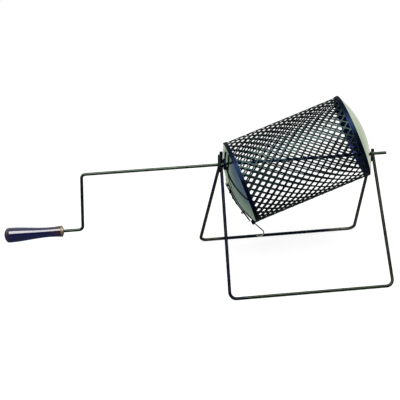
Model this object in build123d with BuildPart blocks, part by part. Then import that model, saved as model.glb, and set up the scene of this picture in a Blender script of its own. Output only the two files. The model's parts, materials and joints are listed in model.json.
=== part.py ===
from build123d import *
import os
from math import asin, atan2, cos, hypot, pi, radians, sin, sqrt, tan

# Hand-cranked chestnut roaster: a tilted, pierced drum on a bent crank rod, lying in a wire trestle.
# Millimetres, +Z up, +X along the rod away from the crank, origin on the ground under the drum.
os.makedirs("parts", exist_ok=True)

# Drum of rolled sheet
drum_radius = 103
drum_length = 300
drum_tilt = 20          # degrees between the drum's axis and the rod
sheet = 1
holes_round = 26        # diamond holes in one ring, with one flat of the sheet to each
hole_rings = 19
hole_web = 4.2          # metal left between two neighbouring holes
plain_margin = 10       # strip without holes at each end
seam_width = 14
seam_turn = 160         # degrees from the drum's upper side, towards the viewer

# Domed end caps and the hoops over the joint
dome_rise = 28
cap_sheet = 1.2
cap_skirt = 9           # collar that goes into the drum
hoop_width = 8
hoop_thickness = 1.8

# Crank rod
rod_d = 7.2
shaft_height = 282
stub_out = 35.5         # free end, beyond the far crossing of the trestle
crank_out = 337.5       # crank arm, beyond the near crossing
crank_throw = 144
crank_bend = 9
spindle_length = 172

# Trestle of two crossing wire frames
wire_d = 7.8
foot_flare = 24         # how much longer a foot rail is than the way between the crossings
foot_spread = 346
wire_bend = 16
crank_tip = 29          # upright wire tips above the rod, at each end
far_tip = 8
weld_radius = 5.4

# Hub flanges on the rod
flange_radius = 14
flange_plate = 1.2

# Loading door in the crank-end cap
door_top = -2           # upper edge, from the cap's middle
door_top_width = 48
door_flare = 17         # degrees between a side and the middle line
door_reach = 95         # lower edge, from the cap's middle
door_lap = 6            # how far the door lies over the edge of its opening
door_sheet = 1.2
strap_width = 14
strap_sheet = 2.6
strap_bend = 52         # where it leaves the dome and runs straight
strap_reach = 105       # its forked end
keeper_place = 78       # loop on the strap, from the cap's middle
keeper_radius = 4.5
hinge_place = 4         # hinge pin, from the cap's middle
knuckle_radius = 2.6
hinge_pin_d = 2.4
hinge_width = 34
leaf_sheet = 1.2
leaf_length = 16

# Wire hook at the lowest point of the rim
latch_plate = 1.6
latch_width = 20
ear_gap = 5.6           # between the two ears
ear_sheet = 2.4
ear_radius = 4.6
latch_pin_d = 2.8
latch_stand = 8.6       # pin above the hoop
latch_out = 4.4         # pin outside the rim's plane
hook_wire_d = 2.8
hook_length = 34
hook_curl = 9.5
hook_curl_turn = 185
hook_lean = 25          # degrees from square to the drum, towards its middle
hook_eye_radius = 3.2

# Turned wooden grip
grip_set = 49           # ferrule's face, beyond the crank arm
grip_length = 141
grip_neck_radius = 13.2
grip_waist_radius = 12.2
grip_belly_radius = 18
butt_round = 11
ferrule_length = 7
ferrule_radius = 13.6
ferrule_wall = 1.4
washer_radius = 9
washer_thickness = 1.6

# Clearances
seat_gap = 0.1          # between pieces fixed to each other
weld_gap = 0.1
cradle_gap = 0.3        # rod above the wires that it turns on
hub_play = 1.440009      # between a hub flange and the crossing wires
running_gap = 0.08      # radial, round a pin or the spindle
play = 0.3              # between pieces that pass each other

# Derived sizes
wire_r = wire_d / 2
rod_r = rod_d / 2
tilt = radians(drum_tilt)
flat_radius = drum_radius * cos(pi / holes_round)
dome_ball = (drum_radius**2 + (dome_rise - cap_sheet) ** 2) / (2 * (dome_rise - cap_sheet))
hoop_radius = drum_radius + seat_gap + hoop_thickness
door_under = play
door_outer = door_under + door_sheet
strap_under = door_outer + seat_gap
strap_outer = strap_under + strap_sheet
pin_height = dome_rise + knuckle_radius + play
frame_shift = wire_r + weld_gap / 2
dome_top = cos(tilt) * (drum_length / 2 + dome_rise - dome_ball) + dome_ball
hub_span = 2 * (dome_top + flange_plate + hub_play + frame_shift + wire_r)
foot_length = hub_span + foot_flare
stub_reach = hub_span / 2 + stub_out
crank_reach = hub_span / 2 + crank_out
spindle_end = crank_reach + spindle_length
grip_start = crank_reach + grip_set

# The drum's own directions, and the plane of each rim
drum_axis = Vector(cos(tilt), 0, sin(tilt))
drum_up = Vector(-sin(tilt), 0, cos(tilt))
drum_centre = Vector(0, 0, shaft_height)


def end_plane(side):
    """Rim plane, z out of the drum and x towards the rod's hole; side is -1 at the crank, 1 at the far end."""
    return Plane(drum_centre + drum_axis * (side * drum_length / 2), drum_up * -side, drum_axis * side)


def profile_plane(end):
    """Plane through the drum's axis, with x across the end and y out of it."""
    return Plane(end.origin, end.x_dir, end.x_dir.cross(end.z_dir))


def dome_height(reach, lift=0):
    """Height over the rim plane of the cap's outside, or of a skin that lies lift above it."""
    return dome_rise - dome_ball + sqrt((dome_ball + lift) ** 2 - reach**2)


def dome_arc(reach, lift):
    """Line of the cap's outside from the middle to reach, moved out by lift."""
    heights = [(share * reach, dome_height(share * reach, lift)) for share in (0, 0.5, 1)]
    return ThreePointArc(*heights)


def dome_section(end, under, outer, reach):
    """Section of a domed sheet that lies on the cap."""
    with BuildSketch(profile_plane(end)) as section:
        with BuildLine():
            inside = dome_arc(reach, under)
            outside = dome_arc(reach, outer)
            Line(inside @ 0, outside @ 0)
            Line(inside @ 1, outside @ 1)
        make_face()
    return section.sketch


def skin_point(turn, lift):
    """Point of a skin that lies lift above the dome, turned about the dome's centre away from the rod's hole."""
    ball = dome_ball + lift
    return (-ball * sin(turn), dome_rise - dome_ball + ball * cos(turn))


def round_section(plane, centre, radius):
    """Circle at a place on a plane."""
    with BuildSketch(plane) as section:
        with Locations(centre):
            Circle(radius)
    return section.sketch


def bar_section(path, radius):
    """Circle across the start of a path."""
    return round_section(Plane(path @ 0, z_dir=path % 0), (0, 0), radius)


def rod_section(radius, along=0):
    """Circle across the rod."""
    return round_section(Plane.YZ.offset(along), (0, shaft_height), radius)


crank_end = end_plane(-1)
far_end = end_plane(1)
crank_axis = Axis(crank_end.origin, crank_end.z_dir)
crank_profile = profile_plane(crank_end)

# Pierced drum: one diamond punch, repeated in staggered rings round a tube folded in many small flats
hole_pitch = 2 * pi * drum_radius / holes_round
ring_pitch = (drum_length - 2 * plain_margin) / (hole_rings + 1)
lattice_gap = 2 * hole_pitch * ring_pitch / hypot(hole_pitch, 2 * ring_pitch)
hole_share = 1 - hole_web / lattice_gap
with BuildPart() as punch:
    with BuildSketch(Plane.XY.offset(flat_radius - 4 * sheet)):
        with BuildLine():
            Polyline(
                (ring_pitch * hole_share, 0),
                (0, hole_pitch / 2 * hole_share),
                (-ring_pitch * hole_share, 0),
                (0, -hole_pitch / 2 * hole_share),
                close=True,
            )
        make_face()
    extrude(amount=8 * sheet)

drum_place = Location(Plane(drum_centre, drum_axis, drum_axis.cross(drum_up)))
with BuildPart() as drum_shell:
    with BuildSketch(Plane(drum_centre, drum_up, drum_axis)):
        facing = 90 - 180 / holes_round
        RegularPolygon(flat_radius, holes_round, major_radius=False, rotation=facing)
        inner_flat = flat_radius - sheet
        RegularPolygon(inner_flat, holes_round, major_radius=False, rotation=facing, mode=Mode.SUBTRACT)
    extrude(amount=drum_length / 2 - seat_gap, both=True)
    hole_places = []
    for ring in range(hole_rings):
        along = ring_pitch * (ring + 1) - drum_length / 2 + plain_margin
        for number in range(holes_round):
            turn = (number + ring % 2 / 2) * 360 / holes_round
            hole_places.append(drum_place * Pos(along, 0, 0) * Rot(turn, 0, 0))
    with Locations(*hole_places):
        add(punch.part, mode=Mode.SUBTRACT, clean=False)

# Strip that joins the sheet's two edges, along the underside
with BuildPart() as seam_strip:
    with BuildSketch(Plane(drum_centre, drum_up, drum_axis)):
        Circle(drum_radius + seat_gap + sheet)
        Circle(drum_radius + seat_gap, mode=Mode.SUBTRACT)
        with PolarLocations(drum_radius, 1, start_angle=seam_turn):
            Rectangle(drum_radius, seam_width, mode=Mode.INTERSECT)
    extrude(amount=drum_length / 2 - hoop_width - play, both=True)


def make_hoop(end):
    """Band over the joint between drum and cap."""
    with BuildPart() as hoop:
        with BuildSketch(end.offset(-hoop_width)):
            Circle(hoop_radius)
            Circle(drum_radius + seat_gap, mode=Mode.SUBTRACT)
        extrude(amount=hoop_width + cap_sheet)
        outer_edges = hoop.edges().filter_by(GeomType.CIRCLE).sort_by(SortBy.RADIUS)[-2:]
        chamfer(outer_edges, hoop_thickness * 0.4)
    return hoop


def door_outline(inset):
    """Fan-shaped door, or its opening when drawn in by inset."""
    half = door_top_width / 2
    flare = tan(radians(door_flare))
    with BuildSketch(crank_end) as outline:
        Circle(door_reach)
        with BuildLine():
            Polyline(
                (door_top, -half),
                (door_top, half),
                (door_top - drum_radius, half + drum_radius * flare),
                (door_top - drum_radius, -half - drum_radius * flare),
                close=True,
            )
        make_face(mode=Mode.INTERSECT)
        if inset:
            offset(amount=-inset, kind=Kind.INTERSECTION, mode=Mode.REPLACE)
    return outline.sketch


def make_cap(end, has_door):
    """Pressed dome with a collar inside the drum and a hole for the rod."""
    collar_radius = flat_radius - sheet - seat_gap
    inner_radius = collar_radius - cap_sheet
    with BuildPart() as cap:
        with BuildSketch(profile_plane(end)):
            with BuildLine():
                outside = dome_arc(drum_radius, 0)
                inside = dome_arc(inner_radius, -cap_sheet)
                Polyline(
                    outside @ 1,
                    (drum_radius, 0),
                    (collar_radius, 0),
                    (collar_radius, -cap_skirt),
                    (inner_radius, -cap_skirt),
                    inside @ 1,
                )
                Line(outside @ 0, inside @ 0)
            make_face()
        revolve(axis=Axis(end.origin, end.z_dir))
        extrude(rod_section(rod_r + seat_gap), amount=crank_reach, both=True, mode=Mode.SUBTRACT)
        if has_door:
            extrude(door_outline(door_lap), amount=dome_rise, mode=Mode.SUBTRACT)
    return cap


crank_end_hoop = make_hoop(crank_end)
far_end_hoop = make_hoop(far_end)
crank_end_cap = make_cap(crank_end, True)
far_end_cap = make_cap(far_end, False)

# Two wire frames, each one bent wire; their legs cross under the rod and make the cradles
foot_half = foot_spread / 2
leg_rise = shaft_height - wire_r
leg_lean = atan2(foot_half, leg_rise) + asin((rod_r + wire_r + cradle_gap) / hypot(foot_half, leg_rise))
crossing_along = foot_half / sin(leg_lean)
crossing_height = wire_r + foot_half / tan(leg_lean)


def make_frame(front, radius):
    """One frame's bar; front is 1 for the frame that stands nearer the viewer, -1 for the other."""
    knee_along = (shaft_height - wire_r) / cos(leg_lean)
    knee_out = foot_length / 2 - (foot_length - hub_span) / 2 * knee_along / crossing_along

    def place(out, along):
        return (out + front * frame_shift, front * (along * sin(leg_lean) - foot_half), wire_r + along * cos(leg_lean))

    def tip(side, rise):
        knee = place(side * knee_out, knee_along)
        return (knee[0], knee[1], shaft_height + rise)

    with BuildPart() as frame:
        with BuildLine() as path:
            FilletPolyline(
                tip(-1, crank_tip),
                place(-knee_out, knee_along),
                place(-foot_length / 2, 0),
                place(foot_length / 2, 0),
                place(knee_out, knee_along),
                tip(1, far_tip),
                radius=wire_bend,
            )
        sweep(bar_section(path.line, radius), path=path.line)
    return frame


rear_frame = make_frame(-1, wire_r)
rear_room = make_frame(-1, wire_r + weld_gap)
front_wire = make_frame(1, wire_r)
with BuildPart() as front_frame:
    with Locations((-hub_span / 2, 0, crossing_height), (hub_span / 2, 0, crossing_height)):
        Sphere(weld_radius)
    add(rear_room.part, mode=Mode.SUBTRACT)
    add(front_wire.part)

# One bent rod is shaft, crank arm and spindle
with BuildPart() as crank_rod:
    with BuildLine(Plane.XZ) as rod_path:
        FilletPolyline(
            (stub_reach, shaft_height),
            (-crank_reach, shaft_height),
            (-crank_reach, shaft_height - crank_throw),
            (-spindle_end, shaft_height - crank_throw),
            radius=crank_bend,
        )
    sweep(bar_section(rod_path.line, rod_r), path=rod_path.line)
    chamfer(crank_rod.faces().filter_by(GeomType.PLANE).edges(), rod_r / 4)

# Flanges that are fixed to the rod and carry the caps
def make_flange(side):
    """Turned flange, hollowed to sit on the dome, that runs against the trestle."""
    ball_place = drum_centre + drum_axis * (side * (drum_length / 2 + dome_rise - dome_ball))
    with BuildPart() as flange:
        plate_root = dome_top - flange_radius / 2
        plate = rod_section(flange_radius, side * plate_root)
        extrude(plate, amount=side * (dome_top + flange_plate - plate_root))
        with Locations(ball_place):
            Sphere(dome_ball + seat_gap, mode=Mode.SUBTRACT)
        extrude(rod_section(rod_r + seat_gap), amount=crank_reach, both=True, mode=Mode.SUBTRACT)
    return flange


crank_hub_flange = make_flange(-1)
far_hub_flange = make_flange(1)

# Hinge: a leaf on the cap with two knuckles, and the pin
strap_half = strap_width / 2
hinge_half = hinge_width / 2
pin_radius = hinge_pin_d / 2


hinge_line = (hinge_place, pin_height)


with BuildPart() as hinge_leaf:
    leaf_skin = dome_section(crank_end, seat_gap, seat_gap + leaf_sheet, leaf_length + hinge_width)
    revolve(leaf_skin, axis=crank_axis)
    with BuildSketch(crank_end):
        with Locations((hinge_place, 0)):
            Rectangle(leaf_length, hinge_width, align=(Align.MIN, Align.CENTER))
        with Locations((hinge_place - knuckle_radius, 0)):
            notch_length = 2 * knuckle_radius + 2 * play
            notch_width = strap_width + 2 * play
            Rectangle(notch_length, notch_width, align=(Align.MIN, Align.CENTER), mode=Mode.SUBTRACT)
    extrude(amount=2 * dome_rise, mode=Mode.INTERSECT)
    for start in (strap_half + play, -hinge_half):
        knuckle = round_section(crank_profile.offset(start), hinge_line, knuckle_radius)
        extrude(knuckle, amount=hinge_half - strap_half - play)
    bore = round_section(crank_profile, hinge_line, pin_radius + seat_gap / 2)
    extrude(bore, amount=hinge_width, both=True, mode=Mode.SUBTRACT)

with BuildPart() as hinge_pin:
    extrude(round_section(crank_profile, hinge_line, pin_radius), amount=hinge_half + pin_radius, both=True)
    chamfer(hinge_pin.faces().filter_by(GeomType.PLANE).edges(), pin_radius / 2)

# Fan-shaped door, and the strap that hinges it and carries the loop for the hook
with BuildPart() as loading_door:
    revolve(dome_section(crank_end, door_under, door_outer, door_reach + door_lap), axis=crank_axis)
    extrude(door_outline(0), amount=2 * dome_rise, mode=Mode.INTERSECT)

bend_turn = asin(strap_bend / dome_ball)
hinge_turn = -asin(hinge_place / dome_ball)
strap_way = Vector(-cos(bend_turn), -sin(bend_turn))


def strap_point(reach, lift):
    """Point of the strap's straight part."""
    start = Vector(*skin_point(bend_turn, lift))
    return start + strap_way * ((reach + start.X) / cos(bend_turn))


with BuildPart() as door_strap:
    with BuildSketch(crank_profile):
        with BuildLine():
            turns = (hinge_turn, (hinge_turn + bend_turn) / 2, bend_turn)
            underside = ThreePointArc(*[skin_point(turn, strap_under) for turn in turns])
            outside = ThreePointArc(*[skin_point(turn, strap_outer) for turn in turns])
            Line(underside @ 0, outside @ 0)
            Polyline(
                underside @ 1,
                strap_point(strap_reach, strap_under),
                strap_point(strap_reach, strap_outer),
                outside @ 1,
            )
        make_face()
    extrude(amount=strap_half, both=True)
    with BuildSketch(crank_end):
        with Locations((-strap_reach, 0)):
            SlotOverall(2 * strap_width, ear_gap)
    extrude(amount=2 * dome_rise, mode=Mode.SUBTRACT)
    extrude(round_section(crank_profile, hinge_line, knuckle_radius), amount=strap_half, both=True)
    bore = round_section(crank_profile, hinge_line, pin_radius + running_gap)
    extrude(bore, amount=hinge_width, both=True, mode=Mode.SUBTRACT)
    keeper_height = strap_point(keeper_place, strap_outer).Y - hook_wire_d / 4
    keeper_plane = Plane(crank_end.from_local_coords((-keeper_place, 0, keeper_height)), drum_up, drum_axis * -1)
    with BuildLine(Plane(keeper_plane.origin, keeper_plane.y_dir, keeper_plane.x_dir)) as keeper_path:
        CenterArc((0, 0), keeper_radius, 0, 180)
    sweep(bar_section(keeper_path.line, hook_wire_d / 2), path=keeper_path.line)

# Bracket on the hoop, its pin, and the wire hook that hangs from it
pivot_reach = hoop_radius + latch_stand
pivot = (-pivot_reach, latch_out)
plate_middle = (-hoop_radius - seat_gap - latch_plate / 2, -hoop_width / 2)
plate_length = hoop_width - 2 * play
ear_half = ear_gap / 2
latch_pin_radius = latch_pin_d / 2

with BuildPart() as latch_bracket:
    with BuildSketch(crank_profile):
        with Locations(plate_middle):
            Rectangle(latch_plate, plate_length)
    extrude(amount=latch_width / 2, both=True)
    for start in (ear_half, -ear_half - ear_sheet):
        with BuildSketch(crank_profile.offset(start)):
            with Locations(plate_middle):
                Rectangle(latch_plate, plate_length)
            with Locations(pivot):
                Circle(ear_radius)
            make_hull()
        extrude(amount=ear_sheet)
    bore = round_section(crank_profile, pivot, latch_pin_radius + seat_gap / 2)
    extrude(bore, amount=latch_width, both=True, mode=Mode.SUBTRACT)

with BuildPart() as latch_pin:
    shank = round_section(crank_profile, pivot, latch_pin_radius)
    extrude(shank, amount=ear_half + ear_sheet + latch_pin_radius, both=True)
    chamfer(latch_pin.faces().filter_by(GeomType.PLANE).edges(), latch_pin_radius / 2)

lean = radians(hook_lean)
hook_way = (-cos(lean), -sin(lean))
with BuildPart() as latch_hook:
    with BuildLine(crank_profile) as hook_path:
        shank_ends = [(pivot[0] + hook_way[0] * s, pivot[1] + hook_way[1] * s) for s in (latch_pin_d, hook_length)]
        Line(*shank_ends)
        JernArc(shank_ends[1], hook_way, hook_curl, -hook_curl_turn)
    sweep(bar_section(hook_path.line, hook_wire_d / 2), path=hook_path.line)
    extrude(round_section(crank_profile, pivot, hook_eye_radius), amount=ear_half - play, both=True)
    bore = round_section(crank_profile, pivot, latch_pin_radius + running_gap)
    extrude(bore, amount=latch_width, both=True, mode=Mode.SUBTRACT)

# Turned grip on the spindle, with a ferrule at its neck and a washer on the rod
spindle_height = shaft_height - crank_throw
spindle_axis = Axis((0, 0, spindle_height), (1, 0, 0))
grip_neck = grip_start + ferrule_length
grip_butt = grip_start + grip_length
spigot_radius = ferrule_radius - ferrule_wall - seat_gap
grip_belly = grip_butt - butt_round

with BuildPart() as grip:
    with BuildSketch(Plane.XZ):
        with BuildLine():
            waist = (-grip_neck - grip_length / 4, spindle_height + grip_waist_radius)
            belly = (-grip_belly, spindle_height + grip_belly_radius)
            neck = (-grip_neck, spindle_height + grip_neck_radius)
            Spline(neck, waist, belly, tangents=[(-1, -0.1), (-1, 0)])
            swell = (-grip_belly - butt_round * 0.55, spindle_height + grip_belly_radius)
            brow = (-grip_butt, spindle_height + grip_belly_radius * 0.55)
            butt = Bezier(belly, swell, brow, (-grip_butt, spindle_height))
            Polyline(
                butt @ 1,
                (-grip_start - seat_gap, spindle_height),
                (-grip_start - seat_gap, spindle_height + spigot_radius),
                (-grip_neck - seat_gap, spindle_height + spigot_radius),
                (-grip_neck, spindle_height + grip_neck_radius),
            )
        make_face()
    revolve(axis=spindle_axis)
    bore = round_section(Plane.YZ.offset(-grip_start), (0, spindle_height), rod_r + running_gap)
    extrude(bore, amount=-(spindle_end - grip_start + play), mode=Mode.SUBTRACT)

with BuildPart() as grip_ferrule:
    with BuildSketch(Plane.YZ.offset(-grip_start)):
        with Locations((0, spindle_height)):
            Circle(ferrule_radius)
            Circle(ferrule_radius - ferrule_wall, mode=Mode.SUBTRACT)
    extrude(amount=-(ferrule_length - seat_gap))
    outer_edges = grip_ferrule.edges().filter_by(GeomType.CIRCLE).sort_by(SortBy.RADIUS)[-2:]
    chamfer(outer_edges, ferrule_wall / 3)

with BuildPart() as grip_washer:
    with BuildSketch(Plane.YZ.offset(play - grip_start)):
        with Locations((0, spindle_height)):
            Circle(washer_radius)
            Circle(rod_r + seat_gap / 2, mode=Mode.SUBTRACT)
    extrude(amount=washer_thickness)

pieces = {
    "front_frame": front_frame,
    "rear_frame": rear_frame,
    "crank_rod": crank_rod,
    "drum_shell": drum_shell,
    "seam_strip": seam_strip,
    "crank_end_hoop": crank_end_hoop,
    "far_end_hoop": far_end_hoop,
    "crank_end_cap": crank_end_cap,
    "far_end_cap": far_end_cap,
    "crank_hub_flange": crank_hub_flange,
    "far_hub_flange": far_hub_flange,
    "hinge_leaf": hinge_leaf,
    "hinge_pin": hinge_pin,
    "loading_door": loading_door,
    "door_strap": door_strap,
    "latch_bracket": latch_bracket,
    "latch_pin": latch_pin,
    "latch_hook": latch_hook,
    "grip": grip,
    "grip_ferrule": grip_ferrule,
    "grip_washer": grip_washer,
}
for name, piece in pieces.items():
    piece.part.label = name
    export_step(piece.part, f"parts/{name}.step")
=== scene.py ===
import json
from math import cos, hypot, pi, radians, sin, sqrt, tau

import bmesh
import bpy
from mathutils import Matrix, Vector


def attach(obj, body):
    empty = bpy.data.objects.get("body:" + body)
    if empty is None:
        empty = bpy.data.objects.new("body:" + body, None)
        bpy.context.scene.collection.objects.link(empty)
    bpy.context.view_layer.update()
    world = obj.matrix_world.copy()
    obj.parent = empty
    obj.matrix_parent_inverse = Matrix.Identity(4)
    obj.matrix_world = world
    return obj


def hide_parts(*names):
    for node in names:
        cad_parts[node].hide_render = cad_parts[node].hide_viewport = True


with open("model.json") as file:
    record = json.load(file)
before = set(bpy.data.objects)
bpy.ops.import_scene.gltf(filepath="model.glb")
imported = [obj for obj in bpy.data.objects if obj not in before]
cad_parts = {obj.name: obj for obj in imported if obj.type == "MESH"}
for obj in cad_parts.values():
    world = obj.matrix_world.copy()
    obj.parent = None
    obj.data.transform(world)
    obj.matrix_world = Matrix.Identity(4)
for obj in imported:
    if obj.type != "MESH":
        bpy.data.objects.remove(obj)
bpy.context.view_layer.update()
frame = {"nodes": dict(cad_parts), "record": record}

scene = bpy.context.scene
scene.view_settings.view_transform = "Standard"

# Sizes of the CAD model, in metres
SHAFT = 0.282           # height of the rod's axis
TILT = radians(20)      # the drum's axis against the rod
DRUM_R = 0.103
DRUM_L = 0.300
SHEET = 0.001
DOME_RISE = 0.028
CAP_SHEET = 0.0012
HOOP_R = 0.1049
HOOP_W = 0.008
SEAM_TURN = radians(160)

# Outer faces of the thin parts, over the sheet that each lies on
SEAM_TOP = 0.0011
STRAP_TOP = 0.0042
LEAF_TOP = 0.0013
BRACKET_TOP = 0.0017
FLANGE_TOP = 0.0012

# Middles of the pressed sheets, over the dome's outside
CAP_MIDDLE = -CAP_SHEET / 2
DOOR_MIDDLE = 0.0009

# Radius of the ball that a dome is part of, and how far a dome reaches along the rod
DOME_BALL = (DRUM_R**2 + (DOME_RISE - CAP_SHEET) ** 2) / (2 * (DOME_RISE - CAP_SHEET))
DOME_TOP = cos(TILT) * (DRUM_L / 2 + DOME_RISE - DOME_BALL) + DOME_BALL

AXIS = Vector((cos(TILT), 0, sin(TILT)))
UP = Vector((-sin(TILT), 0, cos(TILT)))
FRONT = Vector((0, -1, 0))
CENTRE = Vector((0, 0, SHAFT))


def drum_out(turn):
    """Direction out of the drum, turned from its upper side towards the viewer."""
    return UP * cos(turn) + FRONT * sin(turn)


def drum_point(along, turn, radius):
    """Point of the drum: along its axis from its middle, at a turn and a radius."""
    return CENTRE + AXIS * along + drum_out(turn) * radius


def crank_point(x, y, z):
    """Point over the crank-end rim: x towards the rod, y away from the viewer, z out of the drum."""
    return CENTRE - AXIS * (DRUM_L / 2 + z) + UP * x - FRONT * y


def dome_height(reach, lift):
    """Height over the rim of a face that lies at a lift over the dome, at a reach from its middle."""
    return DOME_RISE - DOME_BALL + sqrt((DOME_BALL + lift) ** 2 - reach**2)


# Materials: small helpers that add one node each
MIX_VALUES = (2, 3, 0)      # sockets of a Mix node: first, second and result as values
MIX_COLOURS = (6, 7, 2)     # the same as colours


def node_material(name):
    material = bpy.data.materials.new(name)
    material.use_nodes = True
    nodes = material.node_tree.nodes
    links = material.node_tree.links
    shader = nodes["Principled BSDF"]
    place = nodes.new("ShaderNodeTexCoord").outputs["Object"]
    return material, nodes, links, shader, place


def feed(links, socket, value):
    """Set a socket to a number or a colour, or link it to another socket."""
    if isinstance(value, float):
        socket.default_value = value
    elif isinstance(value, tuple):
        socket.default_value = (*value, 1.0)
    else:
        links.new(value, socket)


def arithmetic(nodes, links, operation, *values):
    """Result of one Math node."""
    node = nodes.new("ShaderNodeMath")
    node.operation = operation
    for socket, value in zip(node.inputs, values):
        feed(links, socket, value)
    return node.outputs["Value"]


def mixed(nodes, links, factor, first, second, sockets=MIX_COLOURS):
    """Mix of two colours, or of two values."""
    node = nodes.new("ShaderNodeMix")
    if sockets is MIX_COLOURS:
        node.data_type = "RGBA"
    first_socket, second_socket, result = sockets
    links.new(factor, node.inputs[0])
    feed(links, node.inputs[first_socket], first)
    feed(links, node.inputs[second_socket], second)
    return node.outputs[result]


def noise(nodes, links, place, scale, detail, rough, stretch=None):
    """Noise over the object's own coordinates; stretch makes it streaky."""
    if stretch is not None:
        mapping = nodes.new("ShaderNodeMapping")
        mapping.inputs["Scale"].default_value = stretch
        links.new(place, mapping.inputs["Vector"])
        place = mapping.outputs["Vector"]
    texture = nodes.new("ShaderNodeTexNoise")
    texture.inputs["Scale"].default_value = scale
    texture.inputs["Detail"].default_value = detail
    texture.inputs["Roughness"].default_value = rough
    links.new(place, texture.inputs["Vector"])
    return texture.outputs["Fac"]


def ramp(nodes, links, factor, stops):
    """Colour ramp with (position, colour) stops."""
    node = nodes.new("ShaderNodeValToRGB")
    elements = node.color_ramp.elements
    while len(elements) < len(stops):
        elements.new(0.5)
    for element, (position, colour) in zip(elements, stops):
        element.position = position
        element.color = (*colour, 1.0)
    links.new(factor, node.inputs["Fac"])
    return node.outputs["Color"]


def span(nodes, links, factor, low, high, start=0.3, end=0.7):
    """The factor's range start to end, mapped to low to high."""
    node = nodes.new("ShaderNodeMapRange")
    node.inputs["From Min"].default_value = start
    node.inputs["From Max"].default_value = end
    node.inputs["To Min"].default_value = low
    node.inputs["To Max"].default_value = high
    links.new(factor, node.inputs["Value"])
    return node.outputs["Result"]


def parted(nodes, links, vector):
    """A vector's three parts, as sockets X, Y and Z."""
    node = nodes.new("ShaderNodeSeparateXYZ")
    links.new(vector, node.inputs["Vector"])
    return node.outputs


def bump(nodes, links, shader, height, strength, distance):
    node = nodes.new("ShaderNodeBump")
    node.inputs["Strength"].default_value = strength
    node.inputs["Distance"].default_value = distance
    links.new(height, node.inputs["Height"])
    links.new(node.outputs["Normal"], shader.inputs["Normal"])


def within(nodes, links, place, low, high, soft, axis):
    """One between two places along an axis, falling to nothing over the soft width beyond them."""
    along = parted(nodes, links, place)[axis]
    rise = span(nodes, links, along, 0.0, 1.0, low - soft, low)
    fall = span(nodes, links, along, 1.0, 0.0, high, high + soft)
    return arithmetic(nodes, links, "MULTIPLY", rise, fall)


def toned(nodes, links, place, tone, zones):
    """The tone, with another colour in each zone: from, to, soft width, axis and colour."""
    for low, high, soft, axis, colour in zones:
        tone = mixed(nodes, links, within(nodes, links, place, low, high, soft, axis), tone, colour)
    return tone


# Steel: cloudy tone, fine grain, streaks where it was drawn, and zones of another tone
GRAIN_STRENGTH = 0.35
GRAIN_DEPTH = 0.00006
SPECK_SHARE = 0.35
EDGE_TINT = (0.22, 0.26, 0.22)      # tint of what is mirrored at a grazing angle


def steel(name, tones, rough, metallic, grain, patches, streak=None, zones=(), edge_tint=EDGE_TINT):
    """Worked steel; tones are dark, middle and light, rough is from and to."""
    material, nodes, links, shader, place = node_material(name)
    cloud = noise(nodes, links, place, patches, detail=5.0, rough=0.6)
    fine = noise(nodes, links, place, grain, detail=3.0, rough=0.6, stretch=streak)
    dark, mid, light = tones
    tone = ramp(nodes, links, cloud, [(0.30, dark), (0.52, mid), (0.74, light)])
    speck = span(nodes, links, fine, 0.0, SPECK_SHARE, start=0.45, end=0.8)
    tone = mixed(nodes, links, speck, tone, light)
    tone = toned(nodes, links, place, tone, zones)
    links.new(tone, shader.inputs["Base Color"])
    shader.inputs["Metallic"].default_value = metallic
    shader.inputs["Specular Tint"].default_value = (*edge_tint, 1.0)
    links.new(span(nodes, links, cloud, *rough), shader.inputs["Roughness"])
    bump(nodes, links, shader, fine, GRAIN_STRENGTH, GRAIN_DEPTH)
    return material


front_steel = steel(
    "trestle_steel",
    tones=[(0.008, 0.010, 0.007), (0.014, 0.018, 0.012), (0.026, 0.033, 0.022)],
    rough=(0.26, 0.42),
    metallic=0.85,
    grain=1400.0,
    patches=60.0,
    zones=[(-0.30, -0.168, 0.012, "X", (0.005, 0.006, 0.015))],     # painted shade: the leg by the crank is darker and bluer
)
# Painted light: the rear frame is the same steel as the front one, drawn lighter
rear_steel = steel(
    "rear_steel",
    tones=[(0.028, 0.029, 0.022), (0.046, 0.047, 0.036), (0.075, 0.077, 0.058)],
    rough=(0.26, 0.42),
    metallic=0.85,
    grain=1400.0,
    patches=60.0,
    zones=[(-0.14, 0.12, 0.03, "X", (0.0025, 0.004, 0.010))],       # painted shade: the middle of the rail, under the drum, is darker and bluer
)
rod_steel = steel(
    "rod_steel",
    tones=[(0.013, 0.018, 0.014), (0.023, 0.031, 0.023), (0.044, 0.058, 0.042)],
    rough=(0.24, 0.38),
    metallic=0.9,
    grain=1400.0,
    patches=50.0,
    streak=(0.15, 1.0, 1.0),
    zones=[(-0.165, 0.165, 0.006, "X", (0.0025, 0.004, 0.018))],    # painted shade: darker and bluer inside the drum, which shades it
)
drum_steel = steel(
    "drum_steel",
    tones=[(0.0045, 0.009, 0.011), (0.009, 0.016, 0.016), (0.019, 0.034, 0.024)],
    rough=(0.30, 0.46),
    metallic=0.8,
    grain=1100.0,
    patches=34.0,
)
hoop_steel = steel(
    "hoop_steel",
    tones=[(0.001, 0.003, 0.010), (0.002, 0.005, 0.015), (0.006, 0.011, 0.026)],
    rough=(0.30, 0.44),
    metallic=0.8,
    grain=1100.0,
    patches=44.0,
    edge_tint=(0.08, 0.11, 0.18),
)
fitting_steel = steel(
    "fitting_steel",
    tones=[(0.075, 0.085, 0.075), (0.13, 0.145, 0.12), (0.24, 0.26, 0.21)],
    rough=(0.22, 0.36),
    metallic=0.95,
    grain=1300.0,
    patches=90.0,
)
# The hook is drawn much darker than the other fittings, with a painted highlight on its curl
hook_steel = steel(
    "hook_steel",
    tones=[(0.008, 0.009, 0.005), (0.015, 0.017, 0.009), (0.030, 0.032, 0.019)],
    rough=(0.24, 0.38),
    metallic=0.9,
    grain=1300.0,
    patches=90.0,
    zones=[(0.070, 0.0955, 0.004, "Z", (0.42, 0.42, 0.33))],        # painted highlight: the curl is drawn bright
)
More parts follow.
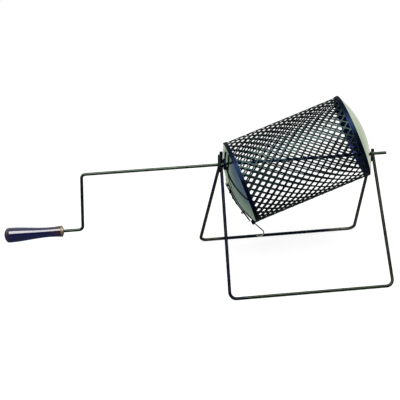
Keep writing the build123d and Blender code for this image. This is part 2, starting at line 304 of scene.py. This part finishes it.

# Pressed and polished caps with faint turning rings, with a painted shade, dark blue, on the inside
CAP_TONES = [(0.33, 0.39, 0.24), (0.42, 0.49, 0.30), (0.50, 0.57, 0.37)]
CAP_ROUGH = (0.05, 0.12)
INSIDE_SHADE_TONES = [(0.3, (0.014, 0.018, 0.070)), (0.7, (0.045, 0.058, 0.19))]
INSIDE_ROUGH = 0.35          # how much rougher the shaded inner side is than the polished side
CAP_CLOUD = 26.0            # scales of the noise
RING_SCALE = 900.0
RING_SHARE = 0.3
RING_STRENGTH = 0.12
RING_DEPTH = 0.00003


def drum_reach(nodes, links, place):
    """Vector whose X is the distance from the drum's axis."""
    shift = nodes.new("ShaderNodeMapping")
    shift.vector_type = "TEXTURE"
    shift.inputs["Location"].default_value = CENTRE
    shift.inputs["Rotation"].default_value = (0, -TILT, 0)
    links.new(place, shift.inputs["Vector"])
    parts = parted(nodes, links, shift.outputs["Vector"])
    flat = nodes.new("ShaderNodeCombineXYZ")
    links.new(parts["Y"], flat.inputs["Y"])
    links.new(parts["Z"], flat.inputs["Z"])
    reach = nodes.new("ShaderNodeVectorMath")
    reach.operation = "LENGTH"
    links.new(flat.outputs["Vector"], reach.inputs[0])
    line = nodes.new("ShaderNodeCombineXYZ")
    links.new(reach.outputs["Value"], line.inputs["X"])
    return line.outputs["Vector"]


def dome_inside(nodes, links, place, end, middle):
    """One on the inner side of a sheet over a dome; end is -1 at the crank and 1 at the far side."""
    ball = nodes.new("ShaderNodeVectorMath")
    ball.operation = "DISTANCE"
    ball.inputs[1].default_value = CENTRE + AXIS * (end * (DRUM_L / 2 + DOME_RISE - DOME_BALL))
    links.new(place, ball.inputs[0])
    return arithmetic(nodes, links, "LESS_THAN", ball.outputs["Value"], DOME_BALL + middle)


def spun_metal(name, end=None, middle=CAP_MIDDLE):
    """Cap metal; with an end given, the inner side of the sheet there gets a painted shade, dark blue."""
    material, nodes, links, shader, place = node_material(name)
    rings = noise(nodes, links, drum_reach(nodes, links, place), RING_SCALE, detail=3.0, rough=0.7)
    cloud = noise(nodes, links, place, CAP_CLOUD, detail=5.0, rough=0.6)
    dark, mid, light = CAP_TONES
    tone = ramp(nodes, links, cloud, [(0.28, dark), (0.5, mid), (0.75, light)])
    worn = span(nodes, links, rings, 0.0, RING_SHARE, start=0.4, end=0.8)
    tone = mixed(nodes, links, worn, tone, light)
    rough = span(nodes, links, cloud, *CAP_ROUGH)
    if end is not None:
        inside = dome_inside(nodes, links, place, end, middle)
        # Painted shade: the inner side of the sheet is dark blue
        tone = mixed(nodes, links, inside, tone, ramp(nodes, links, cloud, INSIDE_SHADE_TONES))
        rough = arithmetic(nodes, links, "MULTIPLY_ADD", inside, INSIDE_ROUGH, rough)
    links.new(tone, shader.inputs["Base Color"])
    shader.inputs["Metallic"].default_value = 1.0
    links.new(rough, shader.inputs["Roughness"])
    bump(nodes, links, shader, rings, RING_STRENGTH, RING_DEPTH)
    return material


cap_metal = spun_metal("cap_metal")
crank_cap_metal = spun_metal("crank_cap_metal", -1)
far_cap_metal = spun_metal("far_cap_metal", 1)
door_metal = spun_metal("door_metal", -1, DOOR_MIDDLE)

# Turned wood under lacquer, with faint grain along the grip and browner zones at its neck and butt
PLAIN_SPECULAR = 0.5        # shine without the lacquer
COAT_IOR = 1.6
COAT_ROUGH = 0.06
WOOD_GRAIN = 160.0          # scales of the noise
WOOD_CLOUD = 30.0
WOOD_STRENGTH = 0.10
WOOD_DEPTH = 0.00008
WOOD_STRETCH = (0.06, 1.0, 1.0)


def lacquer(name, tones, rough, coat, zones=()):
    """Stained wood; coat is how much of the shine the clear lacquer gives."""
    material, nodes, links, shader, place = node_material(name)
    grain = noise(nodes, links, place, WOOD_GRAIN, detail=6.0, rough=0.6, stretch=WOOD_STRETCH)
    cloud = noise(nodes, links, place, WOOD_CLOUD, detail=3.0, rough=0.5)
    dark, mid, light = tones
    tone = ramp(nodes, links, grain, [(0.32, dark), (0.55, mid), (0.78, light)])
    shade = span(nodes, links, cloud, 0.0, 0.5, start=0.35, end=0.75)
    tone = mixed(nodes, links, shade, tone, dark)
    tone = toned(nodes, links, place, tone, zones)
    links.new(tone, shader.inputs["Base Color"])
    links.new(span(nodes, links, grain, *rough), shader.inputs["Roughness"])
    shader.inputs["Specular IOR Level"].default_value = PLAIN_SPECULAR * (1 - coat)
    shader.inputs["Coat Weight"].default_value = coat
    shader.inputs["Coat IOR"].default_value = COAT_IOR
    shader.inputs["Coat Roughness"].default_value = COAT_ROUGH
    bump(nodes, links, shader, grain, WOOD_STRENGTH, WOOD_DEPTH)
    return material


grip_lacquer = lacquer(
    "grip_lacquer",
    tones=[(0.001, 0.001, 0.012), (0.003, 0.003, 0.028), (0.008, 0.005, 0.032)],
    rough=(0.25, 0.36),
    coat=1.0,
    zones=[
        (-0.592, -0.570, 0.026, "X", (0.014, 0.007, 0.012)),        # neck
        (-0.722, -0.712, 0.008, "X", (0.016, 0.007, 0.014)),        # butt
    ],
)
ferrule_wood = lacquer(
    "ferrule_wood",
    tones=[(0.058, 0.032, 0.010), (0.125, 0.076, 0.027), (0.23, 0.150, 0.064)],
    rough=(0.36, 0.52),
    coat=0.25,
)

# Finish of each material slot, and of the nodes that differ from their slot
finishes = {
    "trestle_wire": front_steel,
    "rod_steel": rod_steel,
    "drum_steel": drum_steel,
    "hoop_steel": hoop_steel,
    "cap_metal": cap_metal,
    "fittings": fitting_steel,
    "grip_wood": grip_lacquer,
    "ferrule_wood": ferrule_wood,
}
node_finishes = {
    "rear_frame": rear_steel,
    "crank_end_cap": crank_cap_metal,
    "far_end_cap": far_cap_metal,
    "loading_door": door_metal,
    "latch_hook": hook_steel,
    "grip_washer": rod_steel,
}


def dress(obj, material):
    obj.data.materials.clear()
    obj.data.materials.append(material)


for part in frame["record"]["subparts"]:
    finish = node_finishes.get(part["node"], finishes[part["material_slot"]])
    dress(frame["nodes"][part["node"]], finish)


# Pieces made here: a finer pierced sheet for the drum, and rivets
def new_piece(name, bm, body, slot, smooth=True):
    """Piece from a bmesh, which is freed; it rides on the body and wears the slot's finish."""
    mesh = bpy.data.meshes.new(name)
    bm.to_mesh(mesh)
    bm.free()
    piece = bpy.data.objects.new(name, mesh)
    scene.collection.objects.link(piece)
    if smooth:
        for face in mesh.polygons:
            face.use_smooth = True
    dress(piece, finishes[slot])
    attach(piece, body)
    return piece


# Pierced sheet: one diamond cell with a rounded, pressed hole, repeated in staggered rings
HOLES_ROUND = 34
RINGS = 25
RING_PITCH = 0.01155
PATTERN_TURN = 0.30     # how far the rings are turned, as a share of the way from hole to hole
WEB = 0.0038            # between two holes
LIP = 0.0007            # width of the pressed edge round a hole
LIP_DROP = 0.0003       # how far the hole's edge is pressed under the sheet's face
BURR = 0.0001           # how far it stands out on the inside
ROUNDING = 0.0016
LIP_ROUNDING = ROUNDING * 1.5
END_GAP = 0.0001        # from the sheet's end to the drum's
END_MARGIN = 0.0055     # from a hole to the drum's end
CORNER_REACH = 0.2      # from a cell's corner to the points beside it, as a share of its edge
CORNER_SHARE = 0.45     # how much of its sharp corner a rounded one keeps
MERGE = 0.00002
RISING_HALF = (1, 2, 3, 4, 5, 6, 7)             # points of a cell on the side of the far end
FALLING_HALF = (11, 0, 1, 7, 8, 9, 10)          # and on the side of the crank

half_round = pi * DRUM_R / HOLES_ROUND
edge_length = hypot(half_round, RING_PITCH)
lattice_gap = 2 * half_round * RING_PITCH / edge_length


def diamond_corners(inset):
    """Corners of the cell drawn in by inset on every side."""
    share = 1 - 2 * inset / lattice_gap
    a, b = half_round * share, RING_PITCH * share
    return [Vector((a, 0)), Vector((0, b)), Vector((-a, 0)), Vector((0, -b))]


def diamond_loop(inset, rounding=None):
    """Twelve points round the diamond: each corner, sharp or rounded, and a point on either side of it."""
    corners = diamond_corners(inset)
    loop = []
    for i, corner in enumerate(corners):
        before = (corners[i - 1] - corner).normalized()
        after = (corners[(i + 1) % 4] - corner).normalized()
        reach = edge_length * CORNER_REACH if rounding is None else rounding
        start = corner + before * reach
        end = corner + after * reach
        if rounding is not None:
            corner = corner * CORNER_SHARE + (start + end) * ((1 - CORNER_SHARE) / 2)
        loop += [start, corner, end]
    return loop


def ring_of_points(bm, loop, along, turn, radius, limit):
    """A loop laid on the drum, cut off at the limit on either end."""
    points = []
    for p in loop:
        z = min(max(along + p.y, -limit), limit)
        points.append(bm.verts.new(drum_point(z, turn + p.x / DRUM_R, radius)))
    return points


def join_rings(bm, first, second):
    """Faces between two rings of as many points."""
    count = len(first)
    for i in range(count):
        k = (i + 1) % count
        bm.faces.new((first[i], first[k], second[k], second[i]))


def pierced_sheet():
    bm = bmesh.new()
    cell = diamond_loop(0)
    lip = diamond_loop(WEB / 2 - LIP, LIP_ROUNDING)
    hole = diamond_loop(WEB / 2, ROUNDING)
    first = -RING_PITCH * (RINGS - 1) / 2
    sheet_end = DRUM_L / 2 - END_GAP
    hole_end = DRUM_L / 2 - END_MARGIN
    outside = (cell, DRUM_R, sheet_end)
    inside = (cell, DRUM_R - SHEET, sheet_end)
    pierced_layers = [
        outside,
        (lip, DRUM_R, hole_end + LIP),
        (hole, DRUM_R - LIP_DROP, hole_end),
        (hole, DRUM_R - SHEET - BURR, hole_end),
        inside,
    ]
    halves = {-1: RISING_HALF, RINGS: FALLING_HALF}     # plain half cells close both ends
    for ring in range(-1, RINGS + 1):
        along = first + ring * RING_PITCH
        layers = [outside, inside] if ring in halves else pierced_layers
        for number in range(HOLES_ROUND):
            turn = (number + (ring % 2) / 2 - PATTERN_TURN) * tau / HOLES_ROUND
            loops = [ring_of_points(bm, loop, along, turn, radius, limit) for loop, radius, limit in layers]
            if ring in halves:
                outer, inner = loops
                bm.faces.new([outer[i] for i in halves[ring]])
                bm.faces.new([inner[i] for i in reversed(halves[ring])])
                continue
            for outer, inner in zip(loops, loops[1:]):
                join_rings(bm, outer, inner)
    bmesh.ops.remove_doubles(bm, verts=bm.verts, dist=MERGE)
    bmesh.ops.delete(bm, geom=[v for v in bm.verts if not v.link_faces], context="VERTS")
    bmesh.ops.recalc_face_normals(bm, faces=bm.faces)
    return bm


pierced = new_piece("pierced_drum", pierced_sheet(), "rotor", "drum_steel", smooth=False)
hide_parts("drum_shell")

# Rivets: domed heads with a flattened top and a soft foot, each with its radius and height
RIVET_SIDES = 16
RIVET_PROFILE = [(1.0, -0.25), (1.0, 0.12), (0.94, 0.42), (0.78, 0.74), (0.5, 0.93), (0.2, 1.0)]
SEAM_RIVET = (0.0024, 0.0013)
STRAP_RIVET = (0.0027, 0.0014)
LEAF_RIVET = (0.0022, 0.0012)
BRACKET_RIVET = (0.0016, 0.0010)
FLANGE_RIVET = (0.0018, 0.0005)

SEAM_COUNT = 11
SEAM_FIRST = -0.130         # along the drum from its middle
SEAM_STEP = 0.026
STRAP_PLACES = (-0.014, -0.031, -0.048)     # along the strap, from the dome's middle
LEAF_LINE = 0.0150
LEAF_PLACES = (-0.012, 0.0, 0.012)
BRACKET_PLACES = (-0.0073, 0.0073)
FLANGE_COUNT = 3
FLANGE_RING = 0.0095
FLANGE_FIRST = 0.25         # of a turn: the first rivet is at the top


def add_rivet(bm, point, normal, radius, height):
    side = normal.orthogonal().normalized()
    cross = normal.cross(side)
    rings = []
    for reach, lift in RIVET_PROFILE:
        ring = []
        for k in range(RIVET_SIDES):
            around = tau * k / RIVET_SIDES
            out = side * cos(around) + cross * sin(around)
            ring.append(bm.verts.new(point + out * (radius * reach) + normal * (height * lift)))
        rings.append(ring)
    for low, high in zip(rings, rings[1:]):
        join_rings(bm, low, high)
    bm.faces.new(rings[-1])


def rivets(name, spots, size, body, slot):
    """Rivets of one size as one piece; a spot is a place and an outward direction."""
    bm = bmesh.new()
    for point, normal in spots:
        add_rivet(bm, point, normal.normalized(), *size)
    new_piece(name, bm, body, slot)


def dome_spot(x, y, lift):
    """Place and outward direction on a sheet that lies on the crank-end dome."""
    ball = crank_point(0, 0, DOME_RISE - DOME_BALL)
    point = crank_point(x, y, dome_height(hypot(x, y), lift))
    return point, point - ball


seam_spots = []
for k in range(SEAM_COUNT):
    point = drum_point(SEAM_FIRST + SEAM_STEP * k, SEAM_TURN, DRUM_R + SEAM_TOP)
    seam_spots.append((point, drum_out(SEAM_TURN)))
rivets("seam_rivets", seam_spots, SEAM_RIVET, "rotor", "drum_steel")

strap_spots = [dome_spot(x, 0, STRAP_TOP) for x in STRAP_PLACES]
rivets("strap_rivets", strap_spots, STRAP_RIVET, "door", "hoop_steel")

leaf_spots = [dome_spot(LEAF_LINE, y, LEAF_TOP) for y in LEAF_PLACES]
rivets("leaf_rivets", leaf_spots, LEAF_RIVET, "rotor", "fittings")

bracket_spots = [(crank_point(-HOOP_R - BRACKET_TOP, y, -HOOP_W / 2), -UP) for y in BRACKET_PLACES]
rivets("bracket_rivets", bracket_spots, BRACKET_RIVET, "rotor", "fittings")

flange_spots = []
for end in (-1, 1):
    for k in range(FLANGE_COUNT):
        around = tau * (k / FLANGE_COUNT + FLANGE_FIRST)
        y = FLANGE_RING * cos(around)
        z = SHAFT + FLANGE_RING * sin(around)
        flange_spots.append((Vector((end * (DOME_TOP + FLANGE_TOP), y, z)), Vector((end, 0, 0))))
rivets("flange_rivets", flange_spots, FLANGE_RIVET, "rotor", "hoop_steel")

# Floor: pale to the eye, dim as a source of light
FLOOR_HALF = 9
FLOOR_GREY = 0.16
FLOOR_GLOW = 0.82
# Painted reflection: what polished metal shows of it glows cool and dim on the crank's side, paler behind
# the drum
MIRROR_WAY = (1.0, 0.8, 0.0)
MIRROR_START = -0.34
MIRROR_END = 0.66
MIRROR_TINTS = [
    (0.0, (0.16, 0.21, 0.42)),
    (0.08, (0.19, 0.24, 0.44)),
    (0.18, (0.28, 0.35, 0.37)),
    (0.5, (0.42, 0.50, 0.48)),
    (1.0, (0.84, 0.86, 0.84)),
]


def seen_rays(nodes, links):
    """Two sockets: one for rays that the eye sees, straight or through glass, and one for mirrored rays."""
    rays = nodes.new("ShaderNodeLightPath").outputs
    seen = arithmetic(nodes, links, "MAXIMUM", rays["Is Camera Ray"], rays["Is Transmission Ray"])
    return seen, rays["Is Glossy Ray"]


floor_corners = [
    (-FLOOR_HALF, -FLOOR_HALF, 0), (FLOOR_HALF, -FLOOR_HALF, 0),
    (FLOOR_HALF, FLOOR_HALF, 0), (-FLOOR_HALF, FLOOR_HALF, 0),
]
floor_mesh = bpy.data.meshes.new("floor")
floor_mesh.from_pydata(floor_corners, [], [(0, 1, 2, 3)])
floor = bpy.data.objects.new("floor", floor_mesh)
scene.collection.objects.link(floor)
floor_paint, nodes, links, shader, place = node_material("floor_paint")
nodes.remove(shader)
seen, glossy = seen_rays(nodes, links)
diffuse = nodes.new("ShaderNodeBsdfDiffuse")
diffuse.inputs["Color"].default_value = (FLOOR_GREY, FLOOR_GREY, FLOOR_GREY, 1)
glow = nodes.new("ShaderNodeEmission")
links.new(arithmetic(nodes, links, "MULTIPLY", seen, FLOOR_GLOW), glow.inputs["Strength"])
lit = nodes.new("ShaderNodeAddShader")
links.new(diffuse.outputs[0], lit.inputs[0])
links.new(glow.outputs[0], lit.inputs[1])
depth = nodes.new("ShaderNodeVectorMath")
depth.operation = "DOT_PRODUCT"
depth.inputs[1].default_value = MIRROR_WAY
links.new(place, depth.inputs[0])
shade = span(nodes, links, depth.outputs["Value"], 0.0, 1.0, MIRROR_START, MIRROR_END)
mirrored = nodes.new("ShaderNodeEmission")
links.new(ramp(nodes, links, shade, MIRROR_TINTS), mirrored.inputs["Color"])
both = nodes.new("ShaderNodeMixShader")
links.new(glossy, both.inputs[0])
links.new(lit.outputs[0], both.inputs[1])
links.new(mirrored.outputs[0], both.inputs[2])
links.new(both.outputs[0], nodes["Material Output"].inputs["Surface"])
floor_mesh.materials.append(floor_paint)

# World: white to the eye, an even fill as light; mirrored, white behind the object and a dim room before it
WORLD_WHITE = 1.0
WORLD_FILL = 0.34
ROOM_DIM = 0.10
ROOM_EDGE = 0.35

world = bpy.data.worlds.new("studio")
scene.world = world
world.use_nodes = True
nodes = world.node_tree.nodes
links = world.node_tree.links
background = nodes["Background"]
background.inputs["Color"].default_value = (1, 1, 1, 1)
seen, glossy = seen_rays(nodes, links)
way = parted(nodes, links, nodes.new("ShaderNodeTexCoord").outputs["Generated"])["Y"]
room = span(nodes, links, way, ROOM_DIM, WORLD_WHITE, -ROOM_EDGE, ROOM_EDGE)
light_or_mirrored = mixed(nodes, links, glossy, WORLD_FILL, room, MIX_VALUES)
strength = mixed(nodes, links, seen, light_or_mirrored, WORLD_WHITE, MIX_VALUES)
links.new(strength, background.inputs["Strength"])


def softbox(name, place, target, width, height, power):
    light = bpy.data.lights.new(name, "AREA")
    light.shape = "RECTANGLE"
    light.size = width
    light.size_y = height
    light.energy = power
    lamp = bpy.data.objects.new(name, light)
    scene.collection.objects.link(lamp)
    lamp.location = place
    lamp.rotation_euler = (Vector(target) - Vector(place)).to_track_quat("-Z", "Y").to_euler()


softbox("overhead", (-0.25, -1.36, 2.85), target=(-0.25, 0, 0.2), width=2.8, height=2.2, power=246)
softbox("back_fill", (1.2, 2.8, 2.2), target=(-0.1, 0, 0.2), width=1.6, height=1.2, power=24)

# Camera at the photograph's angle
AZIMUTH = radians(-10.71)
ELEVATION = radians(23.56)
DISTANCE = 4.773
AIM = Vector((-0.2395, 0, 0.1926))
FOCAL = 1960.3          # in pixels of the picture
PICTURE = 400           # its width in pixels
SENSOR = 36
CLIP_END = 60

back = Vector((sin(AZIMUTH) * cos(ELEVATION), -cos(AZIMUTH) * cos(ELEVATION), sin(ELEVATION)))
lens = bpy.data.cameras.new("camera")
lens.sensor_width = SENSOR
lens.lens = FOCAL / PICTURE * SENSOR
lens.clip_end = CLIP_END
camera = bpy.data.objects.new("camera", lens)
scene.collection.objects.link(camera)
camera.location = AIM + back * DISTANCE
camera.rotation_euler = back.to_track_quat("Z", "Y").to_euler()
scene.camera = camera
